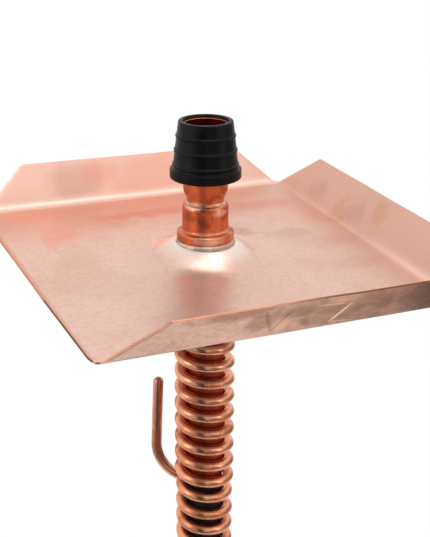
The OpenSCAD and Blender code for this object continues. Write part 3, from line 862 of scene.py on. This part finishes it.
def outside_material():
    """The outer faces, with mottled tarnish and painted shade laid over them. The front one browns towards
    the right with painted shade, with heat marks and a few scratches.
    """
    tree, shader, place = new_material("sheet_outside", 1.0, 0.36)
    tone, swirl = sheet_tone(tree, place, (255, 216, 194), (246, 202, 180), (190, 138, 114), 0.52, 0.12)
    x, y = axes(tree, place)
    mottle = clouds(tree, place, 85.0, 1.0, 0.36, 0.62)
    # Mottled tarnish with painted shade: it darkens all outer faces a little and the front most, where a dark
    # brown painted shade deepens towards the right.
    tarnish_and_painted_shade = mix_colour(tree, mottle, rgb(182, 122, 92), rgb(138, 84, 58))
    front = spread(tree, y, -90 * MM, -97 * MM)
    tone = mix_colour(tree, 0.2, tone, tarnish_and_painted_shade)
    for start, end, strength, colour in ((-50, 30, 0.8, tarnish_and_painted_shade), (30, 90, 0.85, rgb(74, 40, 30))):
        share = maths(tree, "MULTIPLY", front, spread(tree, x, start * MM, end * MM, 0.0, strength))
        tone = mix_colour(tree, share, tone, colour)
    brown, pale, dark, bright = (140, 88, 60), (236, 180, 146), (104, 60, 42), (250, 206, 172)
    tone = lay_patches(tree, place, tone, (
        ((-35.7, -112.9, 221.7), (30, 8, 5), 0.7, 0.4, (166, 110, 82)),
        ((-3.1, -109.4, 215.9), (10, 8, 8), 0.5, 0.7, brown),
        ((11.3, -107.7, 213.1), (16, 8, 8), 0.4, 0.7, brown),
        ((-21.6, -107.4, 213.5), (8, 8, 8), 0.45, 0.6, brown),
        ((-9.9, -104.1, 208.5), (6, 8, 7), 0.7, 0.3, pale),
        ((2.6, -103.6, 207.5), (4, 6, 3), 0.6, 0.4, brown),
        ((19.1, -112.9, 220.3), (12, 6, 6), 0.45, 0.5, pale),
        ((35.8, -109.5, 215.1), (14, 8, 8), 0.4, 0.4, brown),
    ))
    tone = lay_scratches(tree, place, tone, (
        ((17.4, -101.8, 204.5), (24.6, -109.6, 215.6), 1.0, 0.95, (255, 222, 190)),
        ((5.3, -111.0, 218.0), (20.3, -110.3, 216.6), 0.8, 0.5, bright),
        ((17.2, -101.3, 203.9), (31.0, -100.7, 202.6), 0.8, 0.4, bright),
        ((-14.3, -101.8, 205.3), (-6.8, -111.8, 219.5), 0.8, 0.45, dark),
        ((-21.8, -112.2, 220.4), (-14.3, -101.8, 205.3), 1.4, 0.35, dark),
    ))
    coat(tree, shader, tone, spread(tree, swirl, 0.25, 0.75, 0.32, 0.44), swirl, 0.08, 0.0003)


def edge_material():
    """The sheared edge of the sheet: pale copper at the left as a painted highlight, darkening to brown
    towards the right.
    """
    tree, shader, place = new_material("sheet_edge", 1.0, 0.4)
    tone = mix_colour(tree, clouds(tree, place, 60.0, 0.4, 0.42, 0.7), rgb(208, 144, 116), rgb(190, 124, 96))
    x, _ = axes(tree, place)
    # Painted highlight: the edge stays pale at the left and darkens towards the right.
    tone = lay_bands(tree, tone, ((x, -35, 20, 0.85, (110, 66, 48)),))
    tree.links.new(tone, shader.inputs["Base Color"])


def copper_material(name, clean, tarnish, dark, roughness, scale, low, patches=()):
    """Copper with cloudy tarnish, rougher where it is tarnished, and small dark spots."""
    tree, shader, place = new_material(name, 1.0, roughness)
    patch = clouds(tree, place, scale, 0.8, low, low + 0.2)
    spots = clouds(tree, place, scale * 4, 0.4, 0.56, 0.72)
    tone = mix_colour(tree, patch, rgb(*clean), rgb(*tarnish))
    tone = mix_colour(tree, maths(tree, "MULTIPLY", spots, 0.4), tone, rgb(*dark))
    tone = lay_patches(tree, place, tone, patches)
    coat(tree, shader, tone, spread(tree, patch, 0, 1, roughness, roughness + 0.14), spots, 0.08, 0.0003)


def solder_material(name, pale, dull, roughness):
    """Solder, or copper that solder has tinned: lumpy, with a duller tone in patches."""
    tree, shader, place = new_material(name, 1.0, roughness)
    patch = clouds(tree, place, 220.0, 0.5, 0.4, 0.65)
    coat(tree, shader, mix_colour(tree, patch, rgb(*pale), rgb(*dull)), roughness, patch, 0.3, 0.0003)


def rubber_material(name, tone, sheen_tone, low, high, shine):
    """Rubber or black tube, with slightly duller patches and a fine grain."""
    tree, shader, place = new_material(name, 0.0, low)
    shader.inputs["Specular IOR Level"].default_value = shine
    patch = clouds(tree, place, 90.0, 0.5, 0.4, 0.65)
    grain = noise_field(tree, place, 900.0, 2.0)
    tone = mix_colour(tree, patch, rgb(*tone), rgb(*sheen_tone))
    coat(tree, shader, tone, spread(tree, patch, 0, 1, low, high), grain.outputs[0], 0.1, 0.0002)


def make_materials():
    for make_group in (cloud_group, swirl_group, patch_group, line_group):
        make_group()
    for make_sheet in (sheet_material, outside_material, edge_material):
        make_sheet()
    copper_material("rod_copper", (238, 164, 126), (212, 130, 94), (156, 88, 62), 0.28, 75, 0.44)
    # The hook's copper is a darker copy of the rod's: painted shade.
    copper_material("hook_copper", (214, 152, 124), (194, 130, 102), (150, 92, 68), 0.3, 60, 0.46, (
        # Painted highlight on the hook's lower bend.
        ((-8, 20, 58), (22, 16, 18), 0.9, 0.3, (248, 190, 160)),
    ))
    copper_material("tube_copper", (184, 92, 64), (166, 76, 50), (120, 54, 36), 0.42, 70, 0.5)
    # Painted shade: the bore's copper is written near black-red, as it looks in shade.
    copper_material("bore_copper_painted_shade", (96, 18, 12), (80, 12, 8), (60, 8, 6), 0.45, 85, 0.46)
    pale, stain_and_painted_reflection = (238, 196, 174), (132, 82, 66)
    copper_material("fitting_copper", (206, 116, 78), (182, 88, 54), (134, 64, 42), 0.34, 85, 0.46, (
        # Dark patches at the front: heat stains with a painted reflection of the dark room in front.
        ((-6.5, -10.5, SEAT + 13.5), (5, 5, 6), 0.85, 0.35, stain_and_painted_reflection),
        ((-11, -5, SEAT + 15), (4, 6, 3.5), 0.5, 0.4, stain_and_painted_reflection),
        # Pale patches on the shoulder: a smear of tin with a painted highlight.
        ((4, -11, SEAT + 18), (7, 5, 2.2), 0.75, 0.4, pale),
        ((-8, -6, SEAT + 21.5), (7, 7, 2.4), 0.75, 0.5, pale),
        ((3, -9, SEAT + 22), (8, 5, 1.4), 0.7, 0.4, pale),
        # Thin pale bands along the bead's top edge: painted highlight.
        ((-6, -11, SEAT + 7.2), (9, 7, 0.9), 0.7, 0.3, pale),
        ((7, -10, SEAT + 7.2), (7, 7, 0.9), 0.7, 0.3, pale),
        # Pale patches on the front of the bead: painted highlight.
        ((-6, -14, SEAT + 3.6), (13, 7, 3), 0.8, 0.25, (255, 214, 186)),
        ((11, -10, SEAT + 3.2), (7, 7, 3), 0.4, 0.4, (250, 200, 168)),
    ))
    solder_material("solder", (212, 200, 194), (184, 162, 150), 0.5)
    solder_material("tinned_copper", (232, 178, 150), (206, 140, 108), 0.36)
    rubber_material("rubber", (8, 10, 9), (14, 16, 15), 0.34, 0.45, 0.13)
    rubber_material("black_tube", (22, 14, 12), (34, 26, 24), 0.42, 0.5, 0.4)


# ---- Studio ----

def show_white(tree, lit, output):
    """What the camera, gloss and glass see is plain white. Everything else is lit as it is."""
    path = node(tree, "ShaderNodeLightPath")
    seen = maths(tree, "ADD", path.outputs["Is Camera Ray"], path.outputs["Is Glossy Ray"], True)
    seen = maths(tree, "ADD", seen, path.outputs["Is Transmission Ray"], True)
    kind = "ShaderNodeBackground" if output.bl_idname == "ShaderNodeOutputWorld" else "ShaderNodeEmission"
    white = node(tree, kind, {"Color": (1, 1, 1, 1), "Strength": 1.0})
    mixed = node(tree, "ShaderNodeMixShader", {0: seen, 1: lit, 2: white.outputs[0]})
    tree.links.new(mixed.outputs[0], output.inputs["Surface"])


def make_floor():
    """A pale studio floor under the part."""
    deselect_all()
    bpy.ops.mesh.primitive_circle_add(vertices=96, radius=3.0, fill_type="NGON", location=(0, 0, FLOOR_Z))
    floor = named("studio_floor")
    tree, shader, _ = new_material("studio_floor", 0.0, 0.9)
    shader.inputs["Base Color"].default_value = (0.86, 0.86, 0.86, 1)
    show_white(tree, shader.outputs[0], tree.nodes["Material Output"])
    floor.data.materials.append(MATERIALS["studio_floor"])


def make_world():
    """Soft even light from all round."""
    world = bpy.data.worlds.new("studio")
    bpy.context.scene.world = world
    world.use_nodes = True
    soft = world.node_tree.nodes["Background"]
    soft.inputs["Color"].default_value = (1, 1, 1, 1)
    soft.inputs["Strength"].default_value = 0.64
    show_white(world.node_tree, soft.outputs[0], world.node_tree.nodes["World Output"])


def stage_card(name, place, turn, size, tone):
    """A grey card that only reflections show. The copper mirrors it, as it mirrors a dark room."""
    deselect_all()
    bpy.ops.mesh.primitive_plane_add(size=1, location=place, rotation=turn)
    obj = named(name)
    obj.scale = (*size, 1)
    tree, _, _ = new_material(name, 0.0, 0.9)
    plain = node(tree, "ShaderNodeEmission", {"Color": (tone, tone, tone, 1), "Strength": 1.0})
    tree.links.new(plain.outputs[0], tree.nodes["Material Output"].inputs["Surface"])
    obj.data.materials.append(MATERIALS[name])
    obj.visible_camera = obj.visible_diffuse = obj.visible_shadow = False


def upright_card(name, azimuth, distance, width, top, tone):
    """A card that stands on the floor and faces the stem from a direction."""
    a = math.radians(azimuth)
    place = (distance * math.cos(a), distance * math.sin(a), (top + CARD_FOOT_Z) / 2)
    stage_card(name, place, (math.pi / 2, 0, a - math.pi / 2), (width, top - CARD_FOOT_Z), tone)


def floor_card(name, azimuth, near, far, width, tone):
    """A card that lies on the floor and runs out from the stem in a direction."""
    a = math.radians(azimuth)
    middle = (near + far) / 2
    place = (middle * math.cos(a), middle * math.sin(a), FLOOR_CARD_Z)
    stage_card(name, place, (0, 0, a), (far - near, width), tone)


def lamp(name, place, aim, width, height, energy):
    """A soft rectangular lamp that looks at a point."""
    data = bpy.data.lights.new(name, "AREA")
    data.shape = "RECTANGLE"
    data.size, data.size_y, data.energy = width, height, energy
    obj = bpy.data.objects.new(name, data)
    bpy.context.scene.collection.objects.link(obj)
    obj.location = place
    obj.rotation_euler = (Vector(aim) - Vector(place)).to_track_quat("-Z", "Y").to_euler()


def make_studio():
    """A pale room with soft lamps, in metres and degrees from +X."""
    make_floor()
    make_world()
    upright_card("front_card", -125, 1.25, 0.80, 2.9, 0.01)
    upright_card("right_card", -76, 1.25, 1.05, 0.5, 0.25)
    upright_card("side_card", -8, 1.30, 2.0, 0.4, 0.35)
    upright_card("left_card", -159, 1.25, 0.55, 1.0, 0.5)
    floor_card("front_floor_card", -123, 0.16, 1.25, 0.40, 0.02)
    floor_card("right_floor_card", -70, 0.27, 1.35, 0.56, 0.2)
    floor_card("side_floor_card", -4, 0.30, 1.35, 0.8, 0.3)
    floor_card("left_floor_card", -172, 0.14, 1.2, 0.36, 0.55)
    # Painted shade: a dark card under the tray stands in for its shaded underside in the rods' reflections.
    stage_card("tray_shade_card", (0, 0, 0.196), (0, 0, 0), (0.19, 0.19), 0.25)
    lamp("top_softbox", (0.08, -0.16, 1.15), (0.08, -0.16, 0), 0.7, 0.5, 2.9)
    lamp("left_softbox", (-0.995, -0.087, 0.45), (0, 0, 0.15), 0.4, 0.8, 1.5)
    lamp("right_softbox", (0.64, -0.76, 0.45), (0, 0, 0.15), 0.3, 0.8, 0.9)


# ---- Assembly ----

def dress(obj, material, node_name, body=STEM):
    """Gives a finished piece its material and body, and lets it stand for its solid."""
    if material:
        obj.data.materials.clear()
        obj.data.materials.append(MATERIALS[material])
    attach(obj, body)
    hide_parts(node_name)


def recoat(node_name, material):
    """A new material for a solid that stays as it is."""
    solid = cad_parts[node_name]
    solid.data.materials.clear()
    solid.data.materials.append(MATERIALS[material])


place_camera()
make_materials()

dress(make_tray(), None, "ash_tray")

for maker, material, node_name, slot_name, body in (
    (make_grommet, "rubber", "bowl_grommet", "rubber", GROMMET),
    (make_adapter, None, "bowl_adapter", "fitting_copper", STEM),
    (make_coupling, "fitting_copper", "press_coupling", "fitting_copper", STEM),
    (make_neck_solder, "tinned_copper", "neck_solder", "solder", STEM),
    (make_tray_solder, "solder", "tray_solder", "solder", STEM),
    (make_upper_winding, "rod_copper", "upper_winding", "rod_copper", STEM),
    (make_lower_winding, "rod_copper", "lower_winding", "rod_copper", STEM),
    (make_hook, "hook_copper", "tongs_hook", "rod_copper", STEM),
):
    piece = maker()
    smooth(piece)
    dress(piece, material, node_name, body)

for node_name, material in (
    ("stem_tube", "tube_copper"),
    ("dip_tube", "tube_copper"),
    ("lower_tube", "black_tube"),
    ("base_stopper", "rubber"),
    ("coupling_o_ring", "rubber"),
):
    recoat(node_name, material)

make_studio()

bpy.context.scene.view_settings.view_transform = "Standard"
